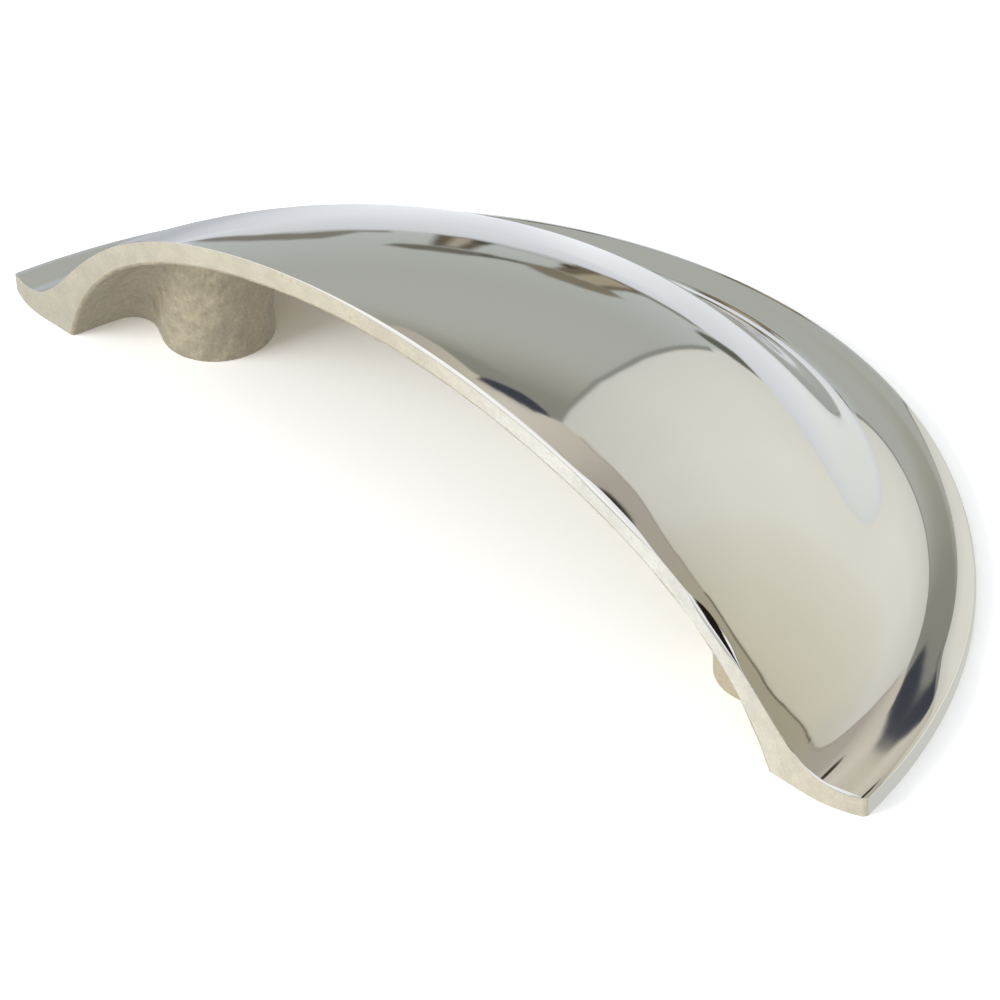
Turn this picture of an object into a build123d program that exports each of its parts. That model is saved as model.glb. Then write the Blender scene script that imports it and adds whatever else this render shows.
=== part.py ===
from build123d import *
from math import asin, atan2, cos, degrees, radians, sin, sqrt
import os

# A half-moon cup pull, cast in one piece. It lies on its back: the face that is
# drawn against the drawer front is z = 0, +Z points away from the drawer, +X runs
# along the length, the finger opening faces -Y and the arched rim faces +Y.
# The origin is midway between the two fixing holes, on the mounting face.
# Lengths are in millimetres and angles in degrees.

# Fixing
hole_spacing = 64.0        # standard distance between the two screw centres
boss_diameter = 9.5
hole_diameter = 3.3        # core of an M4 thread
hole_depth = 7.0           # to the end of the full bore
drill_point_angle = 118.0
mouth_chamfer = 0.4
boss_root_radius = 2.2     # casting radius where the bosses grow out of the shell

# Plan
dome_axis_drop = 15.9      # the shell is a turned form, this far below the hole line
rim_radius = 49.4
tip_drop = 7.9             # the two tips lie this far below the hole line
lip_overhang = 1.2         # the lip runs this far in front of the tips
tip_radius = 11.0          # in plan, where the straight lip rounds back to each tip
lip_lean = 2.4             # draft on the lip face

# Outer skin, a profile turned about the dome's axis
crown_height = 21.6        # on the axis, above the mounting face
crown_radius = 70.2
rim_height = 1.7           # upright band round the foot of the rim
skirt_width = 27.6         # from the end of the round crown out to the rim
shoulder_reach = 10.5      # how far the crown carries on before it starts to fall
shoulder_run = 21.9        # how far out the shoulder turns over
cove_inset = 8.8           # the hollow of the ogee, in from the rim
cove_depth = 0.25          # how far that hollow is drawn below the mounting face
flange_reach = 3.5         # how far in the rim's own slope is held
flange_slope = 17.0
broken_edge = 0.25         # the skin's edges along the lip, the rim and the tips are broken by this

# Cavity for the fingers, turned about the same axis
wall = 2.1
seat_width = 8.9           # flat ring between the rim and the cavity, on z = 0
cavity_skirt_width = 20.8  # from the end of the round roof out to the cavity's edge
roof_reach = 8.2
cavity_side_reach = 9.5
cavity_side_angle = 67.4
cavity_side_height = 1.2   # straight foot of the cavity's side
cast_edge_radius = 0.4     # softer cast edge along the underside of the lip
draw_below = 3.0           # how far the cavity's shape is carried on below z = 0

# Which edges are rounded
clear_angle = 20.0         # faces that turn by more than this meet in an edge
touching = 0.001           # nearer than this, an edge lies on the mounting face or the cavity


def along(angle, distance):
    """A step outwards in the profile that falls at an angle below the level."""
    return Vector(distance * cos(radians(angle)), -distance * sin(radians(angle)))


dome_axis = Axis((0, -dome_axis_drop, 0), (0, 0, 1))
profile_plane = Plane(origin=(0, -dome_axis_drop, 0), x_dir=(1, 0, 0), z_dir=(0, -1, 0))
crown_centre = crown_height - crown_radius


def turned_cap(radius, cap_reach, ending):
    """Turn a profile that is a round cap as far out as cap_reach, and then as given."""
    half_angle = degrees(asin(cap_reach / radius))
    cap = CenterArc((0, crown_centre), radius, 90 - half_angle, half_angle)
    foot = ending[-1] @ 1
    centre = Vector(0, foot.Y)
    outline = [cap, *ending, Line(foot, centre), Line(centre, cap @ 1)]
    return revolve(profile_plane * make_face(outline), dome_axis, 360)


def cap_end(radius, cap_reach):
    """Where a round cap ends, and how steeply it falls there."""
    height = crown_centre + sqrt(radius**2 - cap_reach**2)
    return Vector(cap_reach, height), degrees(asin(cap_reach / radius))


def outer_form():
    """The polished skin: round crown, full shoulder, hollow cove, flange and rim band."""
    start, fall = cap_end(crown_radius, rim_radius - skirt_width)
    # The shoulder leaves the crown with the crown's own curvature, so that the
    # polished surface shows no break in its reflections.
    shoulder_drop = 5 / 4 * shoulder_reach**2 / crown_radius
    rim = Vector(rim_radius, rim_height)
    skirt = Bezier(
        start,
        start + along(fall, shoulder_reach),
        start + along(fall, shoulder_run) + along(fall + 90, shoulder_drop),
        Vector(rim_radius - cove_inset, -cove_depth),
        rim - along(flange_slope, flange_reach),
        rim,
    )
    band = Line(rim, (rim_radius, 0))
    return turned_cap(crown_radius, rim_radius - skirt_width, [skirt, band])


def cavity_form():
    """The hollow under the shell, with a boss left standing at each fixing hole."""
    radius = crown_radius - wall
    cavity_radius = rim_radius - seat_width
    start, fall = cap_end(radius, cavity_radius - cavity_skirt_width)
    slant = 1 / sin(radians(cavity_side_angle))
    edge = Vector(cavity_radius, 0)
    foot = edge - along(cavity_side_angle, cavity_side_height * slant)
    side = Bezier(
        start,
        start + along(fall, roof_reach),
        foot - along(cavity_side_angle, cavity_side_reach),
        foot,
    )
    below = Line(foot, edge + along(cavity_side_angle, draw_below * slant))
    hollow = turned_cap(radius, cavity_radius - cavity_skirt_width, [side, below])
    for side_sign in (-1, 1):
        hollow = with_boss(hollow, side_sign)
    return hollow


def boss_plan(side_sign):
    """A round boss that runs straight out into the wall behind it, seen in plan."""
    outwards = degrees(atan2(dome_axis_drop, side_sign * hole_spacing / 2))
    run = Pos(rim_radius / 2, 0) * Rectangle(rim_radius, boss_diameter)
    boss = Rot(0, 0, outwards) * (Circle(boss_diameter / 2) + run)
    return Pos(side_sign * hole_spacing / 2, 0, -draw_below) * boss


def with_boss(hollow, side_sign):
    """Leave one boss standing in the hollow, with a casting radius round its root."""
    boss = extrude(boss_plan(side_sign), crown_height + draw_below)
    cut = hollow - boss
    root = [edge for edge in cut.edges() if is_root(edge, side_sign)]
    return fillet(root, boss_root_radius)


def is_root(edge, side_sign):
    """True for the edges where a boss meets the roof and the wall of the hollow."""
    ends = (edge @ 0, edge @ 1)
    sloping = abs(ends[0].Z - ends[1].Z) > 0.01
    upright = (ends[0] - ends[1]).cross(Vector(0, 0, 1)).length < 0.01
    ahead = min(end.Y for end in ends) > -dome_axis_drop / 2
    same_side = side_sign * (edge @ 0.5).X > 0
    return sloping and not upright and ahead and same_side


def lip_prism():
    """All that lies behind the lip: its plan outline, leaned forward by the draft."""
    tip_x = sqrt(rim_radius**2 - (dome_axis_drop - tip_drop) ** 2)
    round_run = sqrt(2 * tip_radius * lip_overhang - lip_overhang**2)
    centre = Vector(tip_x - round_run, tip_radius - tip_drop - lip_overhang)
    right = CenterArc(centre, tip_radius, -90, 90)
    left = mirror(right, Plane.YZ)
    front = Line(left @ 0, right @ 0)
    side_x = (right @ 1).X
    far = 2 * rim_radius
    back = Polyline(right @ 1, (side_x, far), (-side_x, far), left @ 1)
    plan = make_face([front, right, back, left])
    lean = Vector(0, -sin(radians(lip_lean)), cos(radians(lip_lean)))
    return extrude(plan, 2 * crown_height, dir=lean)


def fixing_hole(side_sign):
    """A blind hole for an M4 screw, with its drill point and a chamfered mouth."""
    radius = hole_diameter / 2
    point = radius / sin(radians(drill_point_angle / 2)) * cos(radians(drill_point_angle / 2))
    outline = Polyline(
        (0, 0),
        (radius + mouth_chamfer, 0),
        (radius, mouth_chamfer),
        (radius, hole_depth),
        (0, hole_depth + point),
        close=True,
    )
    bore = revolve(Plane.XZ * make_face(outline), Axis.Z, 360)
    return Pos(side_sign * hole_spacing / 2, 0, 0) * bore


def sharp_edges(body):
    """The edges off the mounting face at which two faces of the body meet at a clear angle."""
    faces = body.faces()
    found = []
    for edge in body.edges():
        if edge.bounding_box().max.Z < touching:
            continue
        middle = edge @ 0.5
        sides = [face for face in faces if any(edge.is_same(own) for own in face.edges())]
        normals = [face.normal_at(middle) for face in sides]
        if len(normals) == 2 and normals[0].get_angle(normals[1]) > clear_angle:
            found.append(edge)
    return found


def cup_pull():
    """The whole casting. Its mounting face is ground flat last, so the edges there stay sharp."""
    cavity = cavity_form()
    body = (outer_form() - cavity) & lip_prism()
    under_lip = [edge for edge in sharp_edges(body) if cavity.distance_to(edge) < touching]
    body = fillet(under_lip, cast_edge_radius)
    body = chamfer(sharp_edges(body), broken_edge)
    for side_sign in (-1, 1):
        body -= fixing_hole(side_sign)
    return body


os.makedirs("parts", exist_ok=True)
pull = cup_pull()
export_step(pull, "parts/cup_pull.step")
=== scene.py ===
# %% [markdown]
# # A half-moon cup pull in polished nickel
# The real object is one casting. Its outer skin is buffed to a mirror, the lip is
# rubbed down, and the inside and the two screw bosses stay as they came from the
# mould. This lesson takes the solid as its fixed frame and gives it that finish.

# %% Load the frame
import bmesh
import bpy
import math
import numpy as np
from collections import namedtuple
from mathutils import Matrix, Vector, noise


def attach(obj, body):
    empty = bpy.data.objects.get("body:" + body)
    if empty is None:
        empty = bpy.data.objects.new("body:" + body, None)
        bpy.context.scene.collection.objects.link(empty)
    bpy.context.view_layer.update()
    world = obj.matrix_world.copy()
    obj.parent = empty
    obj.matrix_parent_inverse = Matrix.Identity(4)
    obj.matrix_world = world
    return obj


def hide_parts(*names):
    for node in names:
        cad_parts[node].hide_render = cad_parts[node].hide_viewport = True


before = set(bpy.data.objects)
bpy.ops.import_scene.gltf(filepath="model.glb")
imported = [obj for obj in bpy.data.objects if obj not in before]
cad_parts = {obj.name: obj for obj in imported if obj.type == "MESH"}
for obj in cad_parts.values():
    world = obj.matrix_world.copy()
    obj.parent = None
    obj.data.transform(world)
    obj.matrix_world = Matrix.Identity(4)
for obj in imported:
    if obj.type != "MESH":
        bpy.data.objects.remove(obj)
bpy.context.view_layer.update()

# %% [markdown]
# Lengths on the object are quoted in millimetres, as on its drawing, and Blender
# works in metres. Colours are quoted as sRGB hex values, as a colour picker shows
# them, and a shader wants them linear. One value and one small function keep both
# readable, and another function adds a node and feeds its inputs in one call.

# %% Units, colours and one way to add a node
MM = 0.001


def linear(hex_colour):
    """An sRGB hex colour as the linear RGBA that a shader socket takes."""
    channels = [int(hex_colour[i : i + 2], 16) / 255 for i in (1, 3, 5)]
    return [c / 12.92 if c <= 0.04045 else ((c + 0.055) / 1.055) ** 2.4 for c in channels] + [1.0]


def add(tree, kind, settings=None, **inputs):
    """Add a node. An input is a value, or the output socket that feeds it.

    An input is called by its socket's name, with underscores, or by its number, such
    as i6, where two sockets share a name.
    """
    node = tree.nodes.new(kind)
    for name, value in (settings or {}).items():
        setattr(node, name, value)
    for name, value in inputs.items():
        by_number = name[0] == "i" and name[1:].isdigit()
        key = int(name[1:]) if by_number else name.replace("_", " ")
        if isinstance(value, bpy.types.NodeSocket):
            tree.links.new(value, node.inputs[key])
        else:
            node.inputs[key].default_value = value
    return node


def new_material(name):
    """A material whose node tree is still empty, and that tree."""
    material = bpy.data.materials.new(name)
    material.use_nodes = True
    material.node_tree.nodes.clear()
    return material, material.node_tree


print("white is", linear("#FFFFFF"))

# %% [markdown]
# The camera looks down on the pull from its right front, through a long lens from
# about 40 cm away, as for a catalogue close-up. Its turn and distance were worked
# out from the object's outline, so the frame needs no shift.

# %% Camera
camera_azimuth = math.radians(47.88)
camera_elevation = math.radians(36.93)
camera_roll = math.radians(-2.296)
camera_distance = 404.2 * MM
aim = Vector((1.843, -0.027, 0.0)) * MM
sensor_width_mm = 36.0
focal_in_image_widths = 5.1311
nearest_seen = 10 * MM

forward = Vector((
    -math.sin(camera_azimuth) * math.cos(camera_elevation),
    math.cos(camera_azimuth) * math.cos(camera_elevation),
    -math.sin(camera_elevation),
))
level = Vector((math.cos(camera_azimuth), math.sin(camera_azimuth), 0.0))
upright = level.cross(forward)
across = math.cos(camera_roll) * level + math.sin(camera_roll) * upright
above = math.cos(camera_roll) * upright - math.sin(camera_roll) * level
camera_turn = Matrix((across, above, -forward)).transposed().to_4x4()
eye = aim - forward * camera_distance

camera_data = bpy.data.cameras.new("catalogue_camera")
camera_data.sensor_width = sensor_width_mm
camera_data.lens = focal_in_image_widths * sensor_width_mm
camera_data.clip_start = nearest_seen
camera = bpy.data.objects.new("catalogue_camera", camera_data)
camera.matrix_world = Matrix.Translation(eye) @ camera_turn
bpy.context.scene.collection.objects.link(camera)
bpy.context.scene.camera = camera
print("camera at", [round(c, 4) for c in eye], "lens", round(camera_data.lens, 1), "mm")

# %% [markdown]
# The skin is a turned form: a round crown, a full shoulder, a hollow cove and a
# flat flange out to the rim. These are the drawing's own sizes. A mirror shows the
# smallest dent, so the surface is taken from the curve itself and not from facets:
# a table of the profile gives the height and the slope at any radius.

# %% The skin's profile
axis_y = -15.9 * MM         # the axis that the skin is turned about
rim_radius = 49.4 * MM
rim_height = 1.7 * MM
crown_height = 21.6 * MM
crown_radius = 70.2 * MM
skirt_width = 27.6 * MM
shoulder_reach = 10.5 * MM
shoulder_run = 21.9 * MM
cove_inset = 8.8 * MM
cove_depth = 0.25 * MM
flange_reach = 3.5 * MM
flange_slope = math.radians(17.0)
past_rim = 1.0 * MM         # the flange is carried on, so that its slope holds at the rim
profile_samples = 1500


def along(angle, distance):
    """A step outwards in the profile that falls at an angle below the level."""
    return np.array((distance * math.cos(angle), -distance * math.sin(angle)))


def skin_profile():
    """Radius and height of the skin, from the axis out to the rim."""
    crown_centre = crown_height - crown_radius
    cap_end = rim_radius - skirt_width
    fall = math.asin(cap_end / crown_radius)
    cap_radii = np.linspace(0, cap_end, profile_samples, endpoint=False)
    cap = np.column_stack((cap_radii, crown_centre + np.sqrt(crown_radius**2 - cap_radii**2)))
    start = np.array((cap_end, crown_centre + math.sqrt(crown_radius**2 - cap_end**2)))
    # The shoulder leaves the crown with the crown's own curvature.
    shoulder_drop = 5 / 4 * shoulder_reach**2 / crown_radius
    rim = np.array((rim_radius, rim_height))
    points = (
        start,
        start + along(fall, shoulder_reach),
        start + along(fall, shoulder_run) + along(fall + math.pi / 2, shoulder_drop),
        np.array((rim_radius - cove_inset, -cove_depth)),
        rim - along(flange_slope, flange_reach),
        rim,
    )
    t = np.linspace(0, 1, profile_samples)[:, None]
    order = len(points) - 1
    weights = [math.comb(order, i) * (1 - t) ** (order - i) * t**i for i in range(order + 1)]
    skirt = sum(weight * point for weight, point in zip(weights, points))
    return np.vstack((cap, skirt, rim + along(flange_slope, past_rim))).T


profile_radii, profile_heights = skin_profile()
profile_slopes = np.gradient(profile_heights, profile_radii)


def turned_height(radius):
    """Height of the turned form at a distance from its axis."""
    return np.interp(radius, profile_radii, profile_heights)


print("skin at the rim:", round(float(turned_height(rim_radius) / MM), 2), "mm high")

# %% [markdown]
# The lip is one straight cut across the turned form, rounded back to a tip at each
# end. Its face leans forward a little, because a mould needs draft. The buffing on
# the skin follows this line, so a function says how far behind it a point lies.

# %% The lip line
tip_drop = 7.9 * MM
lip_overhang = 1.2 * MM
tip_radius = 11.0 * MM
lip_lean = math.radians(2.4)
tip_x = math.sqrt(rim_radius**2 - (axis_y + tip_drop) ** 2)
tip_centre_x = tip_x - math.sqrt(2 * tip_radius * lip_overhang - lip_overhang**2)
tip_centre_y = tip_radius - tip_drop - lip_overhang
lip_y = tip_centre_y - tip_radius      # the straight lip, on the mounting face


def behind_lip(x, y, z):
    """How far a point lies behind the lip face, in plan."""
    y = y + math.tan(lip_lean) * z
    straight = y - lip_y
    rounded = tip_radius - np.hypot(np.abs(x) - tip_centre_x, y - tip_centre_y)
    return np.where((np.abs(x) > tip_centre_x) & (y < tip_centre_y), rounded, straight)


print("the lip is straight out to", round(tip_centre_x / MM, 1), "mm and ends at", round(tip_x / MM, 1))

# %% [markdown]
# Whoever buffed this pull leaned on the wheel along the edges. Along the lip the skin
# rolls over by a few degrees in a strip that is up to three millimetres wide, and
# along the rim it is rounded off, most of all at the right. No drawing gives that, so
# it is made here: as a small fall of the skin, and as the turn of its normals.

# %% How the buffing rolled the skin over
roll_knots = (              # place along the lip and width of the strip there, in mm
    (-25, 0), (3, 3.0), (14, 3.1), (20, 2.7), (25, 3.2), (30, 3.0),
    (33.2, 2.3), (36.5, 1.2), (38.5, 1.35), (40.5, 1.9), (42.5, 2.5),
)
roll_runs_out = (42 * MM, 45.5 * MM)    # radii between which the strip ends
roll_bend = 40.0 * MM       # radius of the rolled-over skin
roll_most = 0.054           # its steepest extra fall
roll_eased = 0.026          # what it loses of that between 17 and 20.5 mm
easing_begins = (10 * MM, 17 * MM)
easing_ends = (20.5 * MM, 24 * MM)
rim_roll_from = 47.6 * MM   # radius from which the rim is rounded off
rim_roll_later = 1.7 * MM   # how much further out that starts at the right tip
later_between = (41 * MM, 47.5 * MM)
rim_bend_left = 7.5 * MM
rim_bend_right = 2.4 * MM
rim_bend_between = (4 * MM, 30 * MM)


def smooth_step(low, high, value):
    """From 0 to 1 between two places, with no kink at either."""
    t = np.clip((value - low) / (high - low), 0, 1)
    return t * t * (3 - 2 * t)


def roll_width(x, radius):
    """How wide the rolled-over strip is at a place along the lip."""
    width = 0 * x
    for (start, before), (end, after) in zip(roll_knots[:-1], roll_knots[1:]):
        width = width + (after - before) * MM * smooth_step(start * MM, end * MM, x)
    return width * (1 - smooth_step(*roll_runs_out, radius))


def rolled_off(x, y):
    """How far the buffing has taken the skin below its turned form."""
    radius = np.hypot(x, y - axis_y)
    in_strip = np.clip(roll_width(x, radius) - behind_lip(x, y, turned_height(radius)), 0, None)
    eased = roll_eased * smooth_step(*easing_begins, x) * (1 - smooth_step(*easing_ends, x))
    steep = np.clip(in_strip - (roll_most - eased) * roll_bend, 0, None)
    at_lip = (in_strip**2 - steep**2) / (2 * roll_bend)
    rim_bend = rim_bend_left + (rim_bend_right - rim_bend_left) * smooth_step(*rim_bend_between, x)
    past = np.clip(radius - rim_roll_from - rim_roll_later * smooth_step(*later_between, x), 0, None)
    return at_lip + past**2 / (2 * rim_bend)


lip_middle = rolled_off(np.array(0.0), np.array(lip_y))
print("the buffing took", round(float(lip_middle / MM), 3), "mm off the lip's middle")

# %% Height and normals of the finished skin
def skin_height(x, y):
    """Height of the finished skin over a point in plan."""
    return turned_height(np.hypot(x, y - axis_y)) - rolled_off(x, y)


def unit(vectors):
    """The same directions, each one long."""
    return vectors / np.linalg.norm(vectors, axis=-1, keepdims=True)


def skin_normal(x, y):
    """The exact normals of the finished skin."""
    step = 0.01 * MM
    radius = np.hypot(x, y - axis_y)
    slope = np.interp(radius, profile_radii, profile_slopes)
    rolled_x = (rolled_off(x + step, y) - rolled_off(x - step, y)) / (2 * step)
    rolled_y = (rolled_off(x, y + step) - rolled_off(x, y - step)) / (2 * step)
    slope_x = slope * x / radius - rolled_x
    slope_y = slope * (y - axis_y) / radius - rolled_y
    return unit(np.stack((-slope_x, -slope_y, np.ones_like(slope_x)), axis=-1))


print("skin over the origin:", round(float(skin_height(np.array(0.0), np.array(0.0)) / MM), 2), "mm high")

# %% [markdown]
# The mould side of the piece, that is the hollow, the bosses, the holes and the
# ground seat, is a merged copy of the solid. Its faces on the skin, the rim band and
# the lip are taken off, to be laid again much finer.

# %% The mould side, copied from the solid
lies_on = 0.004 * MM
on_curve = 0.02 * MM        # how far the solid's own facets may miss the curve
skin_lowest = 1 * MM
weld = 0.001 * MM
hole_spacing = 64.0 * MM
hole_reach = 2.1 * MM       # just past the hole's chamfered mouth
POLISHED, CAST, GROUND, RUBBED = 0, 1, 2, 3
MOULD, SKIN, LIP, BAND = 0, 1, 2, 3


def on_lip(co):
    return abs(float(behind_lip(co.x, co.y, co.z))) < lies_on


def on_band(co):
    return abs(math.hypot(co.x, co.y - axis_y) - rim_radius) < lies_on


def on_skin(co):
    turned = float(turned_height(math.hypot(co.x, co.y - axis_y)))
    return co.z > skin_lowest and abs(co.z - turned) < on_curve


form = bmesh.new()
form.from_mesh(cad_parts["cup_pull"].data)
bmesh.ops.remove_doubles(form, verts=form.verts[:], dist=weld)
known_normal = form.verts.layers.float_vector.new("known_normal")
face_kind = form.faces.layers.int.new("face_kind")
outside = [
    face for face in form.faces
    if max(vert.co.z for vert in face.verts) > lies_on
    and all(on_lip(vert.co) or on_band(vert.co) or on_skin(vert.co) for vert in face.verts)
]
bmesh.ops.delete(form, geom=outside, context="FACES")
for face in form.faces:
    places = [vert.co for vert in face.verts]
    seat = max(co.z for co in places) < lies_on
    in_hole = all(math.hypot(abs(co.x) - hole_spacing / 2, co.y) < hole_reach for co in places)
    face.material_index = GROUND if seat or in_hole else CAST
print("faces taken off:", len(outside), "faces kept:", len(form.faces))

# %% Finer facets in the hollow, and the unevenness of the mould
cast_edge_length = 0.8 * MM
cast_rounds = 5
uneven_scale = 2.4 * MM
uneven_height = 0.06 * MM
stays_level = 0.02 * MM     # lower than this, the edges of the seat keep their place
for _ in range(cast_rounds):
    long_edges = [
        edge for edge in form.edges
        if edge.calc_length() > cast_edge_length
        and any(face.material_index == CAST for face in edge.link_faces)
    ]
    if not long_edges:
        break
    bmesh.ops.subdivide_edges(form, edges=long_edges, cuts=1)
    many_sided = [face for face in form.faces if len(face.verts) > 3]
    bmesh.ops.triangulate(form, faces=many_sided, quad_method="SHORT_EDGE", ngon_method="EAR_CLIP")
    print("edges with more than two faces:", sum(len(edge.link_faces) > 2 for edge in form.edges))
form.normal_update()
for vert in form.verts:
    if vert.co.z > stays_level and all(face.material_index == CAST for face in vert.link_faces):
        if not vert.is_boundary:
            vert.co += vert.normal * (noise.noise(vert.co / uneven_scale) * uneven_height)
print("vertices on the mould side:", len(form.verts))

# %% The open edge that is left, split into its front and its back
def from_left(vert):
    return vert.co.x


open_edges = [edge for edge in form.edges if edge.is_boundary]
open_verts = {vert for edge in open_edges for vert in edge.verts}
print("open edges:", len(open_edges), "open vertices:", len(open_verts))
at_back = [vert for vert in open_verts if on_band(vert.co) and vert.co.z < lies_on]
back_row = sorted(at_back, key=from_left)
front_row = sorted((vert for vert in open_verts if vert not in back_row[1:-1]), key=from_left)
print("front row:", len(front_row), "back row:", len(back_row))

# %% [markdown]
# The skin is laid as a grid. Its ribs run straight back from the lip to the rim and
# stand closer towards the tips. Its rows are close together over the arris at the
# lip, over the strip behind it and over the broken edge of the rim, and even between.

# %% Where the ribs run
rib_count = 341
tip_corner_x = 48.70 * MM   # the tip's own corner is broken too
corner_run = 0.17 * MM

end_angle = math.acos(tip_corner_x / rim_radius)
rib_x = rim_radius * np.cos(np.linspace(math.pi - end_angle, end_angle, rib_count))


def into_tip(x):
    """How far a place is into the rounding of its tip, and from 0 to 1 into the tip's corner."""
    reach = np.minimum(np.abs(x), tip_corner_x - corner_run)
    run = np.clip(reach - tip_centre_x, 0, None)
    corner = np.clip((np.abs(x) - reach) / corner_run, 0, 1)
    return run, corner


def lip_line(x):
    """The lip's outline in plan on the mounting face, with its two broken corners."""
    run, corner = into_tip(x)
    line = tip_centre_y - np.sqrt(tip_radius**2 - run**2)
    rim_there = axis_y + math.sqrt(rim_radius**2 - tip_corner_x**2)
    return line + (rim_there - line) * corner


def rim_line(x, inset):
    """The rim's outline in plan, or a line that runs inside it."""
    return axis_y + np.sqrt(np.clip((rim_radius - inset) ** 2 - x**2, 0, None))


longest = float((rim_line(rib_x, 0) - lip_line(rib_x)).max())
print("ribs:", rib_count, "the longest", round(longest / MM, 1), "mm")

# %% Where the rows lie
middle_rows = 84
arris_swells = (            # place along the lip, spread and size, in mm
    (9.0, 15.0, 0.22), (25.0, 3.4, 0.30), (34.9, 2.1, 0.70), (44.8, 0.8, 0.10), (47.4, 1.6, 0.16),
)
arris_least = 0.05 * MM
arris_turns = np.radians(np.linspace(0, 81, 10))
rim_edge_radius = 0.28 * MM
rim_turns = np.radians((72, 54, 36, 18, 0))
rim_inset = 0.012 * MM      # keeps the curve inside the solid's own facets
lip_rows = np.array((0.0, 0.12, 0.3, 0.5, 0.7, 0.9, 1.1, 1.35, 1.6, 1.9, 2.2, 2.6, 3.1)) * MM
rim_rows = np.array((2.0, 1.8, 1.6, 1.4, 1.2, 1.0, 0.8, 0.65, 0.5, 0.38, 0.28)) * MM
short_rib = 6.5 * MM        # shorter ribs have all their rows drawn together
on_top = math.pi / 2        # where a rounded edge has turned right into the skin

Row = namedtuple("Row", "zone, distance, share, drop, turn")


def arris_radius(x):
    """The buffed arris, fuller in some places along the lip and almost sharp in others."""
    return arris_least + sum(
        size * MM * np.exp(-(((x / MM - place) / spread) ** 4)) for place, spread, size in arris_swells
    )


def grid_rows(x):
    """For ribs at x: where each row lies in plan, and how its height and normal turn."""
    length = rim_line(x, 0) - lip_line(x)
    squeeze = np.clip(length / short_rib, 0, 1)
    arris = arris_radius(x) * squeeze
    edge = rim_edge_radius * squeeze
    level = 0 * x
    rows = []
    for turn in arris_turns:
        rows.append(Row("lip", arris * (1 - math.cos(turn)), None, arris * (1 - math.sin(turn)), turn))
    for distance in lip_rows:
        rows.append(Row("lip", arris + distance * squeeze, None, level, on_top))
    for share in np.linspace(0, 1, middle_rows + 2)[1:-1]:
        rows.append(Row("middle", None, share, level, on_top))
    for distance in rim_rows:
        rows.append(Row("rim", rim_inset + distance * squeeze, None, level, on_top))
    for turn in rim_turns:
        inwards = rim_inset + edge * (1 - math.cos(turn))
        rows.append(Row("rim", inwards, None, edge * (1 - math.sin(turn)), turn))
    return rows


rows = grid_rows(rib_x)
row_count = len(rows)
print("rows:", row_count)

# %% [markdown]
# The lip leans, so where a row lies in plan hangs on its height, and its height on
# where it lies. Both are worked out in turn, and a few rounds settle them.

# %% The grid of the skin
settling_rounds = 6
ys = np.zeros((row_count, rib_count))
zs = np.zeros((row_count, rib_count))
last_lip = max(j for j, row in enumerate(rows) if row.zone == "lip")
first_rim = min(j for j, row in enumerate(rows) if row.zone == "rim")
for _ in range(settling_rounds):
    for j, row in enumerate(rows):
        if row.zone == "lip":
            ys[j] = lip_line(rib_x) - math.tan(lip_lean) * zs[j] + row.distance
        elif row.zone == "rim":
            ys[j] = np.maximum(rim_line(rib_x, row.distance), ys[last_lip])
    for j, row in enumerate(rows):
        if row.zone == "middle":
            ys[j] = ys[last_lip] + (ys[first_rim] - ys[last_lip]) * row.share
        zs[j] = skin_height(rib_x, ys[j]) - row.drop
print(
    "grid:", rib_count, "ribs by", row_count, "rows, heights",
    round(float(zs.min() / MM), 2), "to", round(float(zs.max() / MM), 2), "mm",
)

# %% [markdown]
# A mirror shows the smallest flat, so every point of the skin carries its exact
# normal. Over the two rounded edges it turns from the face beside it into the skin.

# %% Exact normals
def lip_normal(x):
    """Outward normal of the leaning lip face, turning into the band at the tips."""
    run, corner = into_tip(x)
    band_x = tip_corner_x / rim_radius
    out_x = run / tip_radius * (1 - corner) + band_x * corner
    out_y = -np.sqrt(1 - (run / tip_radius) ** 2) * (1 - corner) + math.sqrt(1 - band_x**2) * corner
    return unit(np.stack((np.sign(x) * out_x, out_y, out_y * math.tan(lip_lean)), axis=-1))


def band_normal(x, y):
    """Outward normal of the rim band."""
    return unit(np.stack((x, y - axis_y, 0 * x), axis=-1))


grid_normals = np.zeros((row_count, rib_count, 3))
for j, row in enumerate(rows):
    normal = skin_normal(rib_x, ys[j])
    if row.zone == "lip":
        normal = unit(math.cos(row.turn) * lip_normal(rib_x) + math.sin(row.turn) * normal)
    elif row.zone == "rim":
        normal = unit(math.cos(row.turn) * band_normal(rib_x, ys[j]) + math.sin(row.turn) * normal)
    grid_normals[j] = normal
print("normals up to", round(float(np.linalg.norm(grid_normals, axis=-1).max()), 3))

# %% Lay the grid
grid = bmesh.ops.create_grid(form, x_segments=rib_count - 1, y_segments=row_count - 1, size=1.0)
grid_verts = {}
for vert in grid["verts"]:
    i = round((vert.co.x + 1) / 2 * (rib_count - 1))
    j = round((vert.co.y + 1) / 2 * (row_count - 1))
    grid_verts[i, j] = vert
    vert.co = (rib_x[i], ys[j, i], zs[j, i])
    vert[known_normal] = grid_normals[j, i]
for face in {face for vert in grid["verts"] for face in vert.link_faces}:
    face[face_kind] = SKIN
    face.material_index = POLISHED
print("grid vertices:", len(grid_verts))

# %% [markdown]
# Between the grid and the mould side lie the lip face and the rim band. Each is
# closed by a strip of triangles from one row of points to the other, because the
# two rows don't have the same number of points.

# %% Close the lip face and the rim band
def stitch(first, second):
    """Close the gap between two rows that run the same way, by a strip of triangles."""
    i = j = 0
    strip = []
    while i < len(first) - 1 or j < len(second) - 1:
        second_done = j == len(second) - 1
        if i < len(first) - 1 and (second_done or first[i + 1].co.x <= second[j + 1].co.x):
            strip.append(form.faces.new((first[i], second[j], first[i + 1])))
            i += 1
        else:
            strip.append(form.faces.new((first[i], second[j], second[j + 1])))
            j += 1
    return strip


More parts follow.
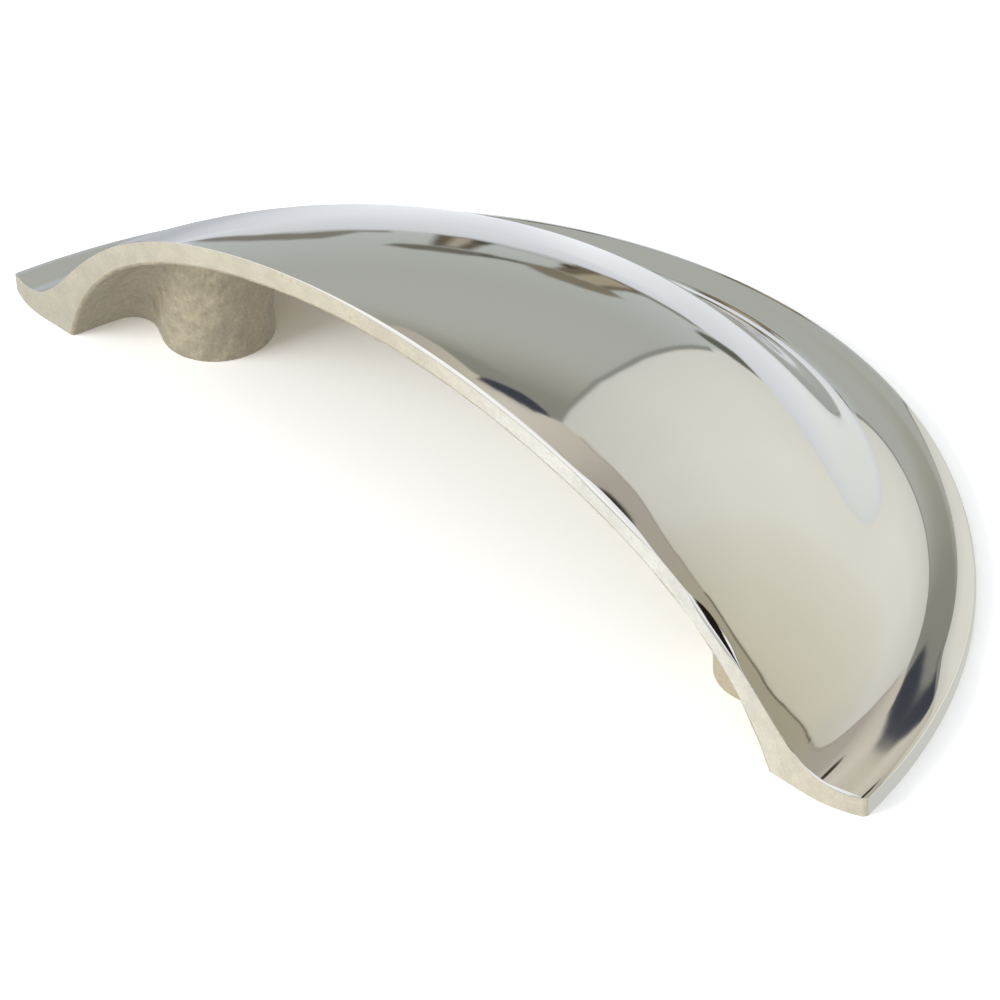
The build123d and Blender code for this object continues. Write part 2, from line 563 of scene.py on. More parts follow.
lip_strip = stitch([grid_verts[i, 0] for i in range(rib_count)], front_row)
band_strip = stitch([grid_verts[i, row_count - 1] for i in range(rib_count)], back_row)
for strip, kind, finish in ((lip_strip, LIP, RUBBED), (band_strip, BAND, POLISHED)):
    for face in strip:
        face[face_kind] = kind
        face.material_index = finish
print("lip strip:", len(lip_strip), "band strip:", len(band_strip))

# %% Close the tips
tip_weld = 0.0005 * MM
tip_sliver = 0.0001 * MM
tips_from = 48.5 * MM
for end in (0, rib_count - 1):
    column = [grid_verts[end, j] for j in range(row_count)]
    middle = sum((vert.co for vert in column), Vector()) / row_count
    for vert in column:
        vert.co = middle
tips = [grid_verts[end, j] for end in (0, rib_count - 1) for j in range(row_count)]
bmesh.ops.remove_doubles(form, verts=tips, dist=tip_weld)
tip_edges = [edge for edge in form.edges if min(abs(vert.co.x) for vert in edge.verts) > tips_from]
bmesh.ops.dissolve_degenerate(form, edges=tip_edges, dist=tip_sliver)
bmesh.ops.triangulate(form, faces=form.faces[:])
bmesh.ops.recalc_face_normals(form, faces=form.faces[:])
left_open = [edge for edge in form.edges if not edge.is_manifold]
print("triangles:", len(form.faces), "open edges:", len(left_open))
print("volume:", round(form.calc_volume() / MM**3), "mm3")

# %% Smooth faces and sharp edges
sharp_angle = math.radians(28)
for face in form.faces:
    face.smooth = True
for edge in form.edges:
    kinds = {face[face_kind] for face in edge.link_faces}
    finishes = {face.material_index for face in edge.link_faces}
    if MOULD in kinds:
        gentle = edge.calc_face_angle(0.0) < sharp_angle
        edge.smooth = gentle and (GROUND not in finishes or len(finishes) == 1)
print("sharp edges:", sum(not edge.smooth for edge in form.edges))
pull_mesh = bpy.data.meshes.new("cup_pull_finished")
form.to_mesh(pull_mesh)
form.free()

# %% Give the corners their normals
def read(collection, name, width, kind=np.float32):
    """One property of every item of a collection, as an array with a row for each."""
    values = np.zeros(len(collection) * width, kind)
    collection.foreach_get(name, values)
    return values.reshape(-1, width) if width > 1 else values


layers = pull_mesh.attributes
normals = read(pull_mesh.corner_normals, "vector", 3).astype(float)
corner_vert = read(pull_mesh.loops, "vertex_index", 1, np.int32)
corner_place = read(pull_mesh.vertices, "co", 3).astype(float)[corner_vert]
known = read(layers["known_normal"].data, "vector", 3).astype(float)[corner_vert]
corner_kind = np.repeat(read(layers["face_kind"].data, "value", 1, np.int32), 3)
on_grid = (corner_kind == SKIN) & (np.abs(known).sum(axis=1) > 0.5)     # elsewhere it is nought
normals[on_grid] = known[on_grid]
on_lip_face = corner_kind == LIP
normals[on_lip_face] = lip_normal(corner_place[on_lip_face, 0])
on_rim_band = corner_kind == BAND
normals[on_rim_band] = band_normal(corner_place[on_rim_band, 0], corner_place[on_rim_band, 1])
pull_mesh.normals_split_custom_set(normals.tolist())
for layer in ("known_normal", "face_kind"):
    layers.remove(layers[layer])
given = int(on_grid.sum() + on_lip_face.sum() + on_rim_band.sum())
print("corners with a known normal:", given, "of", len(corner_vert))

# %% [markdown]
# Polished nickel plate is a metal with hardly any roughness and a light grey of its
# own. Everything else that the eye sees in it is the room, so its material stays
# plain: a little unevenness left by the buffing wheel, and no more.

# %% Polished nickel, buffed
nickel_plate = "#E7E7E7"
buffing_wave = 3.5 * MM
buffing_depth = 0.004 * MM

polished, tree = new_material("nickel_plate_buffed_to_mirror")
place = add(tree, "ShaderNodeTexCoord").outputs["Object"]
buffing = add(tree, "ShaderNodeTexNoise", Vector=place, Scale=1 / buffing_wave, Detail=1.0)
wavy = add(tree, "ShaderNodeBump", Height=buffing.outputs["Fac"], Strength=1.0, Distance=buffing_depth)
shader = add(
    tree, "ShaderNodeBsdfPrincipled",
    Base_Color=linear(nickel_plate), Metallic=1.0, Roughness=0.05, Normal=wavy.outputs["Normal"],
)
add(tree, "ShaderNodeOutputMaterial", Surface=shader.outputs["BSDF"])
print(polished.name, "from", len(tree.nodes), "nodes")

# %% [markdown]
# Plating on raw or rubbed metal is never one tone. Wide patches and a fine grain make
# it a little lighter and darker, and where the patches are strongest it is stained.
# Both matt finishes of this pull are made so, each with its own sizes and tones. A
# Mix node takes colours in at its sockets 6 and 7, and gives one out at socket 2.

# %% A mottled tone, and its stains
patch_spread = (0.35, 0.65)     # the values that each noise mostly keeps to
grain_spread = (0.3, 0.7)


def mottled(tree, tone, patches, patch_tones, grain, grain_tones):
    """A tone that patches and grain make darker and lighter, by factors from low to high."""
    patchy, grainy = [
        add(
            tree, "ShaderNodeMapRange", Value=pattern.outputs["Fac"],
            From_Min=spread[0], From_Max=spread[1], To_Min=tones[0], To_Max=tones[1],
        )
        for pattern, spread, tones in (
            (patches, patch_spread, patch_tones), (grain, grain_spread, grain_tones)
        )
    ]
    both = add(tree, "ShaderNodeMath", {"operation": "MULTIPLY"}, i0=patchy.outputs[0], i1=grainy.outputs[0])
    scaled = add(tree, "ShaderNodeVectorMath", {"operation": "SCALE"}, i0=tone, Scale=both.outputs[0])
    return scaled.outputs[0]


def stained(tree, tone, patches, begins, full, share, stain):
    """A tone with a share of stain mixed in where the patches are strongest."""
    thin = add(
        tree, "ShaderNodeMapRange", Value=patches.outputs["Fac"],
        From_Min=begins, From_Max=full, To_Min=0.0, To_Max=share,
    )
    mixed = add(
        tree, "ShaderNodeMix", {"data_type": "RGBA"}, i0=thin.outputs[0], i6=tone, i7=linear(stain)
    )
    return mixed.outputs[2]


print("patches lie between", patch_spread, "and grain between", grain_spread)

# %% [markdown]
# Inside, the plating lies on the raw skin of the casting. It is a warm matt grey,
# lumpy at a millimetre and grainy below that, with a few brown stains where the
# plating is thin.

# %% Cast nickel, as it came from the mould
cast_lump_size = 1.5 * MM
cast_lump_height = 0.44 * MM
cast_grain_size = 0.30 * MM
cast_grain_height = 0.045 * MM
cast_patch_size = 2.0 * MM

cast, tree = new_material("nickel_plate_on_raw_casting")
place = add(tree, "ShaderNodeTexCoord").outputs["Object"]
lumps = add(tree, "ShaderNodeTexNoise", Vector=place, Scale=1 / cast_lump_size, Detail=0.8)
grain = add(tree, "ShaderNodeTexNoise", Vector=place, Scale=1 / cast_grain_size, Detail=2.0)
patches = add(tree, "ShaderNodeTexNoise", Vector=place, Scale=1 / cast_patch_size, Detail=4.0)
tone = mottled(tree, linear("#D3C7AC")[:3], patches, (0.96, 1.04), grain, (0.88, 1.08))
brown = stained(tree, tone, patches, begins=0.68, full=0.78, share=0.25, stain="#86765A")
lumpy = add(tree, "ShaderNodeBump", Height=lumps.outputs["Fac"], Strength=1.0, Distance=cast_lump_height)
rough = add(
    tree, "ShaderNodeBump", Height=grain.outputs["Fac"], Strength=0.8,
    Distance=cast_grain_height, Normal=lumpy.outputs["Normal"],
)
shader = add(
    tree, "ShaderNodeBsdfPrincipled",
    Base_Color=brown, Metallic=0.5, Roughness=0.42, Normal=rough.outputs["Normal"],
)
add(tree, "ShaderNodeOutputMaterial", Surface=shader.outputs["BSDF"])
print(cast.name, "from", len(tree.nodes), "nodes")

# %% [markdown]
# The lip was rubbed down before it was plated, so it is lighter and smoother than
# the inside. To the right of its middle a painted highlight lightens its tone, and it
# fades again towards the right tip. A fine grain is left, and the odd brown speck.

# %% Nickel on the rubbed lip
lip_grain_size = 0.25 * MM
lip_grain_height = 0.03 * MM
lip_patch_size = 1.8 * MM
# painted highlight: the lip's tone rises between the first two places along X and fades between the next two
painted_highlight_rises = (0 * MM, 20 * MM)
painted_highlight_fades = (32 * MM, 44 * MM)

rubbed, tree = new_material("nickel_plate_on_rubbed_lip")
place = add(tree, "ShaderNodeTexCoord").outputs["Object"]
grain = add(tree, "ShaderNodeTexNoise", Vector=place, Scale=1 / lip_grain_size, Detail=2.0)
patches = add(tree, "ShaderNodeTexNoise", Vector=place, Scale=1 / lip_patch_size, Detail=3.0)
parted = add(tree, "ShaderNodeSeparateXYZ", Vector=place)
# Painted highlight: two ramps along X make the tone lighter right of the middle and duller again near the
# right tip.
highlight_rising, highlight_fading = [
    add(
        tree, "ShaderNodeMapRange", {"interpolation_type": "SMOOTHSTEP"},
        Value=parted.outputs["X"], From_Min=low, From_Max=high,
    )
    for low, high in (painted_highlight_rises, painted_highlight_fades)
]
tone_as_highlight_rises = add(
    tree, "ShaderNodeMix", {"data_type": "RGBA"},
    i0=highlight_rising.outputs[0], i6=linear("#E2DBC6"), i7=linear("#FAF8F0"),
)
tone_with_painted_highlight = add(
    tree, "ShaderNodeMix", {"data_type": "RGBA"},
    i0=highlight_fading.outputs[0], i6=tone_as_highlight_rises.outputs[2], i7=linear("#EAE3D0"),
)
tone = mottled(tree, tone_with_painted_highlight.outputs[2], patches, (0.93, 1.04), grain, (0.92, 1.03))
specked = stained(tree, tone, patches, begins=0.69, full=0.76, share=0.35, stain="#A08F6C")
rough = add(tree, "ShaderNodeBump", Height=grain.outputs["Fac"], Strength=0.8, Distance=lip_grain_height)
shader = add(
    tree, "ShaderNodeBsdfPrincipled",
    Base_Color=specked, Metallic=0.5, Roughness=0.42, Normal=rough.outputs["Normal"],
)
add(tree, "ShaderNodeOutputMaterial", Surface=shader.outputs["BSDF"])
print(rubbed.name, "from", len(tree.nodes), "nodes")

# %% [markdown]
# The seat that is drawn against the drawer front was ground flat on a belt, along the
# pull's length, so it has fine straight lines and the bores in it are cut clean. A
# belt's lines are finer than these, which are as wide as a picture can show.

# %% Ground seat and bores
seat_line_width = 0.22 * MM
seat_line_depth = 0.02 * MM
seat_line_stretch = 0.03    # squeezes the pattern along X, so that it runs in long lines

ground, tree = new_material("nickel_plate_on_ground_seat")
place = add(tree, "ShaderNodeTexCoord").outputs["Object"]
stretched = add(tree, "ShaderNodeMapping", Vector=place, Scale=(seat_line_stretch, 1.0, 1.0))
lines = add(tree, "ShaderNodeTexNoise", Vector=stretched.outputs[0], Scale=1 / seat_line_width, Detail=2.0)
scored = add(tree, "ShaderNodeBump", Height=lines.outputs["Fac"], Strength=0.6, Distance=seat_line_depth)
shader = add(
    tree, "ShaderNodeBsdfPrincipled",
    Base_Color=linear("#CFCABC"), Metallic=1.0, Roughness=0.36, Normal=scored.outputs["Normal"],
)
add(tree, "ShaderNodeOutputMaterial", Surface=shader.outputs["BSDF"])
print(ground.name, "from", len(tree.nodes), "nodes")

# %% Hand the piece to the frame
finish_of = {POLISHED: polished, CAST: cast, GROUND: ground, RUBBED: rubbed}
for number in sorted(finish_of):
    pull_mesh.materials.append(finish_of[number])
pull = bpy.data.objects.new("cup_pull_finished", pull_mesh)
bpy.context.scene.collection.objects.link(pull)
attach(pull, "root")
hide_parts("cup_pull")
print("finished piece:", pull.name, "with", len(pull_mesh.materials), "finishes")

# %% [markdown]
# A mirror finish is lit by what it reflects. Round the pull, three metres away,
# stand plain cards that only reflections see: a grey-green wall to the left, a warm
# white wall to the right, a brown-grey ceiling, a white window and a dark skirting
# to the far left, and some furniture low down.
# Places are given as a compass bearing from +Y towards +X and a rise above the
# table, in degrees, because that is how a reflection points. Colours are given as
# they look in the nickel, which swallows a fifth of the light.

# %% Where a reflection points, and what it shows
nickel_reflects = linear(nickel_plate)[0]
card_distance = 3.0


def seen_in_nickel(hex_colour):
    """The colour that a card has to glow in, to look like the hex value in the nickel."""
    return [c / nickel_reflects for c in linear(hex_colour)[:3]] + [1.0]


def between(stops, value):
    """A colour between hex stops that are given as (value, hex)."""
    places = [stop[0] for stop in stops]
    colours = np.array([seen_in_nickel(stop[1]) for stop in stops])
    return [float(np.interp(value, places, colours[:, k])) for k in range(4)]


def toward(bearing, rise, distance=card_distance):
    """A point that far away on a bearing and a rise."""
    b, r = math.radians(bearing), math.radians(rise)
    return Vector((math.sin(b) * math.cos(r), math.cos(b) * math.cos(r), math.sin(r))) * distance


print("nickel gives back", round(nickel_reflects, 3), "of the light")

# %% What the cards are made of
card_glow, tree = new_material("card_that_glows")
corner_colour = add(tree, "ShaderNodeAttribute", {"attribute_name": "glow"})
corner_cover = add(tree, "ShaderNodeAttribute", {"attribute_name": "cover"})
emission = add(tree, "ShaderNodeEmission", Color=corner_colour.outputs["Color"], Strength=1.0)
clear = add(tree, "ShaderNodeBsdfTransparent")
covered = add(
    tree, "ShaderNodeMixShader",
    Fac=corner_cover.outputs["Fac"], i1=clear.outputs[0], i2=emission.outputs[0],
)
add(tree, "ShaderNodeOutputMaterial", Surface=covered.outputs[0])
print(card_glow.name, "takes its colour and its cover from each card's corners")

# %% [markdown]
# Each card is cut flat in degrees: its edge is inset, so that its cover can fade
# out there, and it is sliced into cells, so that it can be bent round the pull and
# carry a colour that changes. A card that stands in front of another is nearer.

# %% Cut a card
card_cell = 2.0             # degrees
cut_reach = 1e-5            # degrees: a corner this near to a cut lies on it
nearly_straight = 0.01      # radians
card_names = []


def only_reflected(obj):
    """Keep a card out of the picture and out of the light on matt surfaces."""
    for sight in ("camera", "diffuse", "shadow", "volume_scatter"):
        setattr(obj, f"visible_{sight}", False)


def slice_card(flat, axis, values):
    """Cut a flat card into cells across one of its two directions."""
    low, high = min(values), max(values)
    for step in range(1, int((high - low) / card_cell) + 1):
        geometry = flat.verts[:] + flat.edges[:] + flat.faces[:]
        bmesh.ops.bisect_plane(
            flat, geom=geometry, plane_co=axis * (low + step * card_cell), plane_no=axis, dist=cut_reach
        )


def card(name, outline, colour, edge=0.5, near=0.0):
    """Make a card and bend it round the pull.

    Its outline is in degrees of bearing and rise, and so is the width of its soft
    edge. Its colour is a hex value or a function of bearing and rise. It stands
    nearer than the others by so many metres.
    """
    flat = bmesh.new()
    face = flat.faces.new([flat.verts.new((bearing, rise, 0.0)) for bearing, rise in outline])
    bmesh.ops.triangulate(flat, faces=[face])
    bmesh.ops.dissolve_limit(flat, angle_limit=nearly_straight, verts=flat.verts[:], edges=flat.edges[:])
    bmesh.ops.inset_region(
        flat, faces=flat.faces[:], thickness=edge, use_boundary=True, use_even_offset=True
    )
    for vert in flat.verts:         # while the card is cut, its third coordinate holds the cover
        vert.co.z = 0.0 if vert.is_boundary else 1.0
    bearings = [vert.co.x for vert in flat.verts]
    rises = [vert.co.y for vert in flat.verts]
    slice_card(flat, Vector((1, 0, 0)), bearings)
    slice_card(flat, Vector((0, 1, 0)), rises)
    flat.verts.layers.float.new("cover")
    flat.verts.layers.float_color.new("glow")
    cover_layer = flat.verts.layers.float["cover"]
    glow_layer = flat.verts.layers.float_color["glow"]
    for vert in flat.verts:
        bearing, rise, vert[cover_layer] = vert.co
        vert[glow_layer] = colour(bearing, rise) if callable(colour) else seen_in_nickel(colour)
        vert.co = toward(bearing, rise, card_distance - near)
    mesh = bpy.data.meshes.new(name)
    flat.to_mesh(mesh)
    flat.free()
    mesh.materials.append(card_glow)
    obj = bpy.data.objects.new(name, mesh)
    bpy.context.scene.collection.objects.link(obj)
    only_reflected(obj)
    card_names.append(name)


print("cards are cut into cells of", card_cell, "degrees")

# %% [markdown]
# The walls end in the lines along the ceiling that run round the pull close behind
# its lip. Where the two walls meet is the upright line across its middle. The far
# ends of the cornice and of the left wall's top lie in shade.

# %% Walls, ceiling and the far side of the room
corner_bearing = -24.2
wall_foot = -9
left_wall_end = -66
walls_meet = (-21.4, 41.6)
left_top = [
    (-66, 33), (-50, 33.7), (-46, 34.3), (-43.5, 35), (-41, 37), (-38.5, 39.5),
    (-36.2, 42.0), (-33.3, 42.8), (-30.3, 43.2), (-26.8, 44.0), (-23.6, 43.0),
]
right_top = [
    (-18, 41.6), (-14.2, 42.5), (-11, 42.9), (-7.7, 43.7), (-4.3, 44.2), (3.6, 45.2), (7.9, 45.4),
    (14.2, 44.4), (19, 42.2), (24.2, 37.8), (27, 34.6), (29, 31.4), (31.9, 26.6), (34, 23),
    (40, 19), (60, 8),
]
left_wall_stops = (         # rise and colour
    (-8, "#B4B8B6"), (4, "#AAAEA9"), (14, "#A3A59E"), (22, "#A5A7A0"), (28, "#A6A79F"),
    (31.5, "#9F9F95"), (34.6, "#939285"), (37, "#848478"), (44, "#7E7E79"),
)
right_wall_stops = (        # bearing and colour
    (-24, "#C9C8C0"), (-18, "#D0CFC5"), (-8, "#D7D4CA"), (2, "#D6D3C8"),
    (10, "#CFCCBE"), (20, "#C8C5B5"), (30, "#C3BFAA"), (40, "#BAB5A0"),
)
right_wall_rises = (-10, 8, 26, 40, 46)
right_wall_tones = (0.97, 1.02, 0.99, 0.88, 0.84)
ceiling_stops = (           # bearing and colour
    (-60, "#A8A296"), (-43, "#ADA79B"), (-38, "#B6B09E"), (-30, "#C6C1B3"), (-18, "#B9B2A5"),
    (-8, "#A59E93"), (18, "#A29C8E"), (34, "#A09A84"), (70, "#8F8A74"),
)


def left_wall_colour(bearing, rise):
    return between(left_wall_stops, rise)


def right_wall_colour(bearing, rise):
    tone = float(np.interp(rise, right_wall_rises, right_wall_tones))
    return [channel * tone for channel in between(right_wall_stops, bearing)[:3]] + [1.0]


def ceiling_colour(bearing, rise):
    return between(ceiling_stops, bearing)


ceiling = [(-66, 20), (0, 30), (36, 16), (75, 2), (75, 62), (0, 60), (-40, 58), (-66, 54)]
left_wall = left_top + [
    walls_meet, (-22.3, 38), (-23.7, 30), (corner_bearing, 20),
    (corner_bearing, wall_foot), (left_wall_end, wall_foot),
]
right_wall = [(-24.5, 41.2), walls_meet] + right_top + [
    (60, wall_foot), (corner_bearing - 2, wall_foot), (corner_bearing - 2, 20),
]
corner_line = [
    (-21.0, 41.4), (-21.9, 38), (-23.3, 30), (-23.9, 20), (-23.9, 2),
    (-24.8, 2), (-24.8, 20), (-24.2, 30), (-22.9, 38), (-22.0, 41.4),
]
window = [(-178, wall_foot), (-64, wall_foot), (-64, 40), (-60, 70), (-178, 70)]
skirting = [(-115, -4), (-61, -4), (-60, 0), (-61, 5), (-115, 5)]
card("ceiling", ceiling, ceiling_colour, edge=2.0)
card("left_wall", left_wall, left_wall_colour, near=0.2)
card("right_wall", right_wall, right_wall_colour, near=0.05)
card("corner_line", corner_line, "#7C7E77", edge=0.25, near=0.3)
card("window", window, "#F6F4EE", edge=1.5, near=0.3)
card("skirting", skirting, "#55585C", edge=1.0, near=0.5)
print("cards:", len(card_names))

# %% Cornices and the dark top of the left wall
def strip_along(line, half_width, half_height):
    """The outline of a narrow strip that follows a line of the room."""
    ahead = [(bearing + half_width, rise + half_height) for bearing, rise in line]
    behind = [(bearing - half_width, rise - half_height) for bearing, rise in reversed(line)]
    return ahead + behind


wall_shade = [
    (-35.6, 43.6), (-34.8, 42.0), (-32.6, 41.0), (-30.4, 40.4), (-28.2, 39.9), (-26.0, 40.3),
    (-23.9, 41.1), (-22.5, 42.3), (-25.4, 44.4), (-29.3, 44.6), (-33, 44.4),
]
card("cornice", strip_along(right_top[:-3], 0.25, 0.35), "#8C887A", edge=0.3, near=0.3)
card("dark_cornice_end", strip_along(right_top[-7:-1], 0.3, 0.4), "#4A4636", edge=0.3, near=0.35)
card("dark_top_of_left_wall", wall_shade, "#3A3C44", edge=0.55, near=0.4)
print("cards:", len(card_names))

# %% [markdown]
# Low down stand the pieces of furniture that make the brown streaks under the
# white band, and above the ceiling line hangs a dark bar. The last card is the dark
# shape round the camera.

# %% Furniture and dark things
far_floor = [
    (-150, 0.2), (-56, -2.5), (-54, -0.5), (-47, 0.2), (-40, 0.0), (-33, -1.6),
    (-28, -2.8), (-20, -6), (0, -12), (0, -26), (-150, -26),
]
far_floor_stops = ((-24, "#DCDFE3"), (-8, "#D2D5D9"), (0, "#C6C9CB"))
dark_things = (             # name, colour, soft edge, how much nearer, and outline
    ("low_chest", "#77736B", 0.5, 0.6, [
        (-57, -5), (-55.5, -1), (-54, 1.5), (-52, 3), (-50, 3.6), (-49, 2.6), (-48, 1.1),
        (-46.4, 1.0), (-46.4, -0.4), (-49, 0.0), (-51, 0.2), (-53, -1.0), (-55, -3.6),
    ]),
    ("shelf", "#625E55", 0.45, 0.6, [
        (-46.9, 6.1), (-45, 7.2), (-42, 7.3), (-39.8, 6.3), (-40.4, 4.9), (-42, 5.1),
        (-44.5, 4.9), (-46, 5.0),
    ]),
    ("shelf_rail", "#504E46", 0.35, 0.6, [
        (-41.6, 6.9), (-39.3, 6.5), (-37.6, 6.4), (-35.9, 7.2), (-35.9, 6.1), (-37.6, 5.2),
        (-39.3, 5.2), (-41.6, 5.5),
    ]),
    ("table_line", "#9A9E9B", 0.35, 0.6, [
        (-42.0, 1.2), (-39.2, 1.1), (-36.6, 1.3), (-36.6, 0.2), (-39.2, 0.2), (-42.0, 0.3),
    ]),
    ("shelf_leg", "#5C5548", 0.5, 0.65, [(-44.3, 5.2), (-41.6, 5.2), (-41.0, 0.0), (-44.6, -0.3)]),
    ("shelf_leg_light", "#9C9484", 0.45, 0.7, [(-43.5, 4.8), (-42.4, 4.8), (-42.0, 0.3), (-43.5, 0.2)]),
    ("shelf_leg_shade", "#3F4038", 0.4, 0.72, [(-42.5, 1.9), (-41.3, 1.9), (-41.1, 0.2), (-42.6, 0.2)]),
    ("shade_top", "#776F5E", 0.5, 0.65, [
        (-39.2, 5.4), (-38, 7.1), (-36.5, 8.4), (-34, 8.6), (-32.2, 7.2), (-31.4, 5.1),
        (-33, 4.3), (-35, 4.8), (-37, 4.4),
    ]),
    ("shade_stand", "#655C4C", 0.5, 0.7, [
        (-37.2, 4.9), (-32.8, 4.9), (-32.3, 1), (-31.2, -1.7), (-34, -2.3), (-37, -1.2),
    ]),
    ("shade_stand_light", "#9B917C", 0.5, 0.75, [
        (-35.9, 5.0), (-33.6, 5.0), (-33.0, 1), (-32.6, -1.2), (-35.2, -1.4),
    ]),
    ("shade_stand_shade", "#433D37", 0.4, 0.76, [(-37.4, 2.2), (-36.2, 2.4), (-35.9, 0.3), (-37.3, 0.0)]),
    ("low_bench", "#7B7A71", 0.4, 0.7, [
        (-34, 0.2), (-31, -0.9), (-28, -1.9), (-27.2, -3.4), (-29.5, -3.4), (-32, -2.6),
        (-34.8, -2.0),
    ]),
    ("dark_plant", "#585A4F", 0.6, 0.75, [
        (-27.1, 0.7), (-25.4, 0.4), (-23.4, -1.4), (-21.3, -4.5), (-20.5, -6.2), (-22.3, -7.1),
        (-24.5, -5.7), (-26.6, -3.6), (-27.5, -1.4),
    ]),
    ("hanging_bar", "#17120E", 0.18, 0.4, [
        (-11.2, 52.9), (-8.0, 53.3), (-1.3, 53.2), (4.2, 52.4), (7.6, 51.9), (7.0, 51.2),
        (4.0, 50.9), (-0.4, 51.1), (-5.9, 51.5),
    ]),
    ("hanging_bar_end", "#2C2619", 0.3, 0.4, [
        (-20.8, 50.3), (-20.0, 48.7), (-17.2, 48.7), (-15.6, 49.5), (-15.8, 51.0), (-17.5, 51.4),
    ]),
    ("photographer", "#1E1813", 0.8, 0.4, [
        (62, 50.5), (66, 56), (90, 61), (120, 57), (150, 41), (163, 25), (172, 12), (165, 2),
        (140, 10), (125, 36), (118, 42.5), (102, 47.4), (78, 49.6),
    ]),
)


def far_floor_colour(bearing, rise):
    return between(far_floor_stops, rise)


card("far_floor", far_floor, far_floor_colour, edge=0.8, near=0.5)
for name, colour, edge, near, outline in dark_things:
    card(name, outline, colour, edge, near)
print("cards:", len(card_names))

# %% [markdown]
# The table is a round white sheet, a third of a metre wide. The camera sees a white
# surface, over-exposed as in a catalogue, that still takes the pull's soft shadow
# where little light comes in under the shell. The polished skin shows the sheet
# close up and greyer and cooler than it is, so each ring and spoke of it carries the
# colour that it has in the nickel. Under the pull and out to just past its rim those
# rings are darker, a painted shadow, because the metal sees no cast shadow on the sheet.

# %% Table
table_reach = 165 * MM
table_rings = np.array((0, 20, 40, 49, 50.5, 52, 53.5, 55, 60, 70, 85, 105, 130, 165)) * MM
table_spokes = 120
table_gap = 0.01 * MM       # so that the seat and the sheet are not one plane
sheet_weld = 0.01 * MM
bearing_stops = (           # bearing and colour
    (-180, "#E4E4E0"), (-130, "#E4E4E0"), (-110, "#A6AAAE"), (-71, "#ADB1B5"), (-64, "#C8CBCF"),
    (-56, "#D7DADE"), (-50, "#D9DCE0"), (-42, "#D2D5D9"), (-34, "#DFE2E5"), (-20, "#D0D3D6"),
    (-5, "#D0D3D6"), (10, "#D3D5D2"), (30, "#CDCEC6"), (60, "#DCDDD4"), (90, "#DDDDD6"),
    (180, "#D8D9D6"),
)
# Painted shadow: these tones darken the sheet as the nickel sees it, under the pull and out to just past its
# rim.
tone_places = (0, 49 * MM, 51 * MM, 54 * MM, 60 * MM, 90 * MM, table_reach)
tones = (0.7, 0.74, 0.76, 1.03, 1.03, 0.99, 0.92)   # darker under the pull

sheet = bmesh.new()
spoke = [sheet.verts.new((ring, 0, 0)) for ring in table_rings]
spoke_edges = [sheet.edges.new(pair) for pair in zip(spoke[:-1], spoke[1:])]
bmesh.ops.spin(
    sheet, geom=spoke + spoke_edges, cent=(0, 0, 0), axis=(0, 0, 1),
    angle=2 * math.pi, steps=table_spokes, use_merge=True,
)
bmesh.ops.remove_doubles(sheet, verts=sheet.verts[:], dist=sheet_weld)
bmesh.ops.recalc_face_normals(sheet, faces=sheet.faces[:])
if sheet.faces[0].normal.z < 0:
    bmesh.ops.reverse_faces(sheet, faces=sheet.faces[:])
in_nickel = sheet.verts.layers.float_color.new("in_nickel")
for vert in sheet.verts:
    # Rings are counted from the axis of the dome, and bearings from the origin.
    tone = float(np.interp(vert.co.xy.length, tone_places, tones))
    bearing = math.degrees(math.atan2(vert.co.x, vert.co.y + axis_y))
    vert[in_nickel] = [channel * tone for channel in between(bearing_stops, bearing)[:3]] + [1.0]
    vert.co += Vector((0, axis_y, -table_gap))
table_mesh = bpy.data.meshes.new("white_table")
sheet.to_mesh(table_mesh)
sheet.free()
table = bpy.data.objects.new("white_table", table_mesh)
bpy.context.scene.collection.objects.link(table)
print("table vertices:", len(table_mesh.vertices), "up:", table_mesh.polygons[0].normal.z > 0)

# %% The table's white
white_for_camera = 1.23     # over-exposed
white_for_others = 0.50     # so that the sheet throws less light up into the shell
white_tint = (0.99, 1.0, 1.015)
camera_lift = 0.045         # keeps the shadow from going too deep

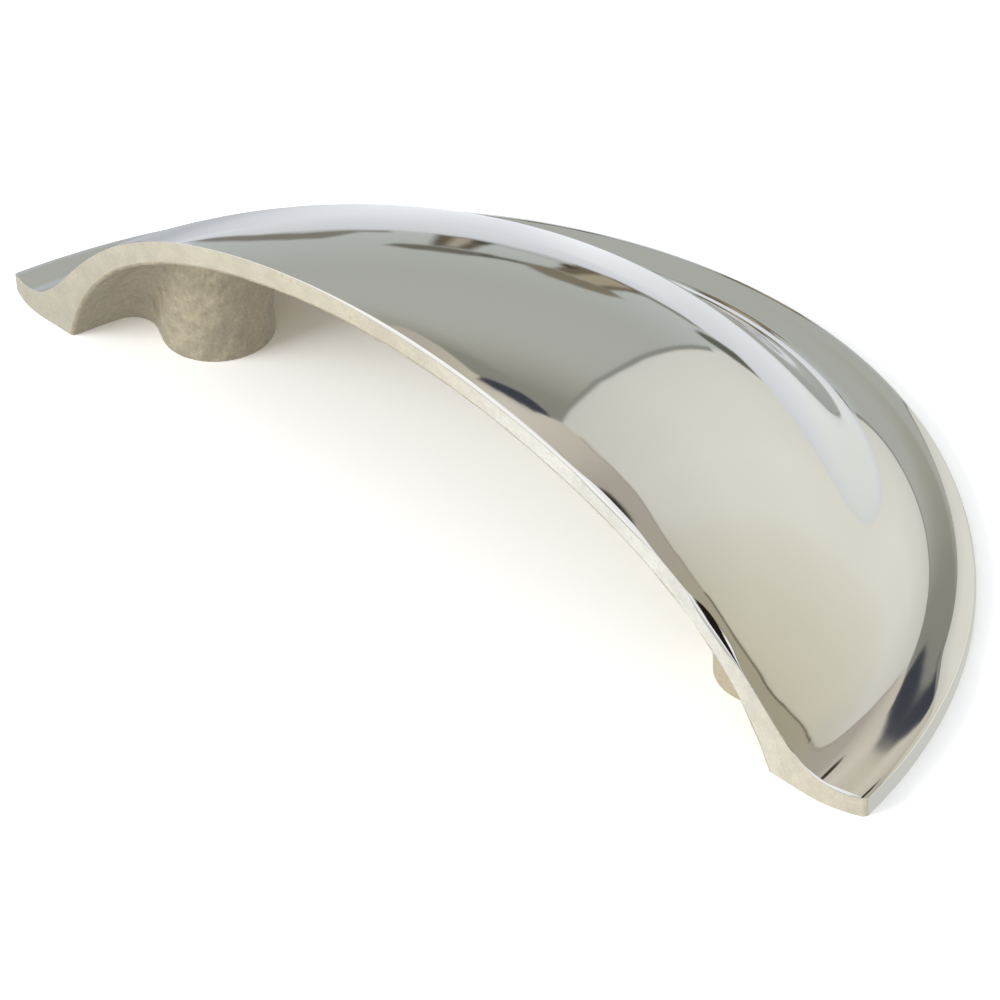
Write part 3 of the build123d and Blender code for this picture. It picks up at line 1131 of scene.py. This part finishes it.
table_white, tree = new_material("white_table_top")
rays = add(tree, "ShaderNodeLightPath")
shade = add(
    tree, "ShaderNodeMapRange", Value=rays.outputs["Is Camera Ray"],
    To_Min=white_for_others, To_Max=white_for_camera,
)
neutral = add(
    tree, "ShaderNodeVectorMath", {"operation": "SCALE"}, i0=white_tint, Scale=shade.outputs[0]
)
lit = add(tree, "ShaderNodeBsdfDiffuse", Color=neutral.outputs[0])
lift = add(
    tree, "ShaderNodeMath", {"operation": "MULTIPLY"}, i0=rays.outputs["Is Camera Ray"], i1=camera_lift
)
lifted = add(tree, "ShaderNodeEmission", Color=linear("#FFFFFF"), Strength=lift.outputs[0])
matt = add(tree, "ShaderNodeAddShader", i0=lit.outputs[0], i1=lifted.outputs[0])
tint = add(tree, "ShaderNodeAttribute", {"attribute_name": "in_nickel"})
mirrored = add(tree, "ShaderNodeEmission", Color=tint.outputs["Color"], Strength=1.0)
seen = add(
    tree, "ShaderNodeMath", {"operation": "MAXIMUM"},
    i0=rays.outputs["Is Glossy Ray"], i1=rays.outputs["Is Transmission Ray"],
)
surface = add(
    tree, "ShaderNodeMixShader", Fac=seen.outputs[0], i1=matt.outputs[0], i2=mirrored.outputs[0]
)
add(tree, "ShaderNodeOutputMaterial", Surface=surface.outputs[0])
table_mesh.materials.append(table_white)
print(table_white.name, "from", len(tree.nodes), "nodes")

# %% [markdown]
# The light is a plain white room, white where the camera or the metal sees it and a
# little weaker for matt surfaces. One wide softbox stands well to the left of the
# camera and rather low, so that it reaches in under the shell, the shadow stays
# short, and each boss is darker on its right.

# %% World and softbox
room_for_matt = 0.78
softbox_bearing = -151
softbox_rise = 26
softbox_distance = 0.9
softbox_width = 0.6
softbox_height = 0.45
softbox_watts = 6.4

world = bpy.data.worlds.new("plain_studio_light")
world.use_nodes = True
world_tree = world.node_tree
world_tree.nodes.clear()
room_rays = add(world_tree, "ShaderNodeLightPath")
strength = add(
    world_tree, "ShaderNodeMapRange", Value=room_rays.outputs["Is Diffuse Ray"],
    To_Min=1.0, To_Max=room_for_matt,
)
room = add(world_tree, "ShaderNodeBackground", Color=linear("#FFFFFF"), Strength=strength.outputs[0])
add(world_tree, "ShaderNodeOutputWorld", Surface=room.outputs[0])
bpy.context.scene.world = world

softbox_place = toward(softbox_bearing, softbox_rise, softbox_distance)
softbox_turn = softbox_place.to_track_quat("Z", "Y").to_matrix().to_4x4()
softbox_light = bpy.data.lights.new("softbox", "AREA")
softbox_light.shape = "RECTANGLE"
softbox_light.size = softbox_width
softbox_light.size_y = softbox_height
softbox_light.energy = softbox_watts
softbox = bpy.data.objects.new("softbox", softbox_light)
softbox.matrix_world = Matrix.Translation(softbox_place) @ softbox_turn
softbox.visible_glossy = False
bpy.context.scene.collection.objects.link(softbox)
print("softbox at", [round(c, 2) for c in softbox_place])
bpy.context.scene.view_settings.view_transform = "Standard"
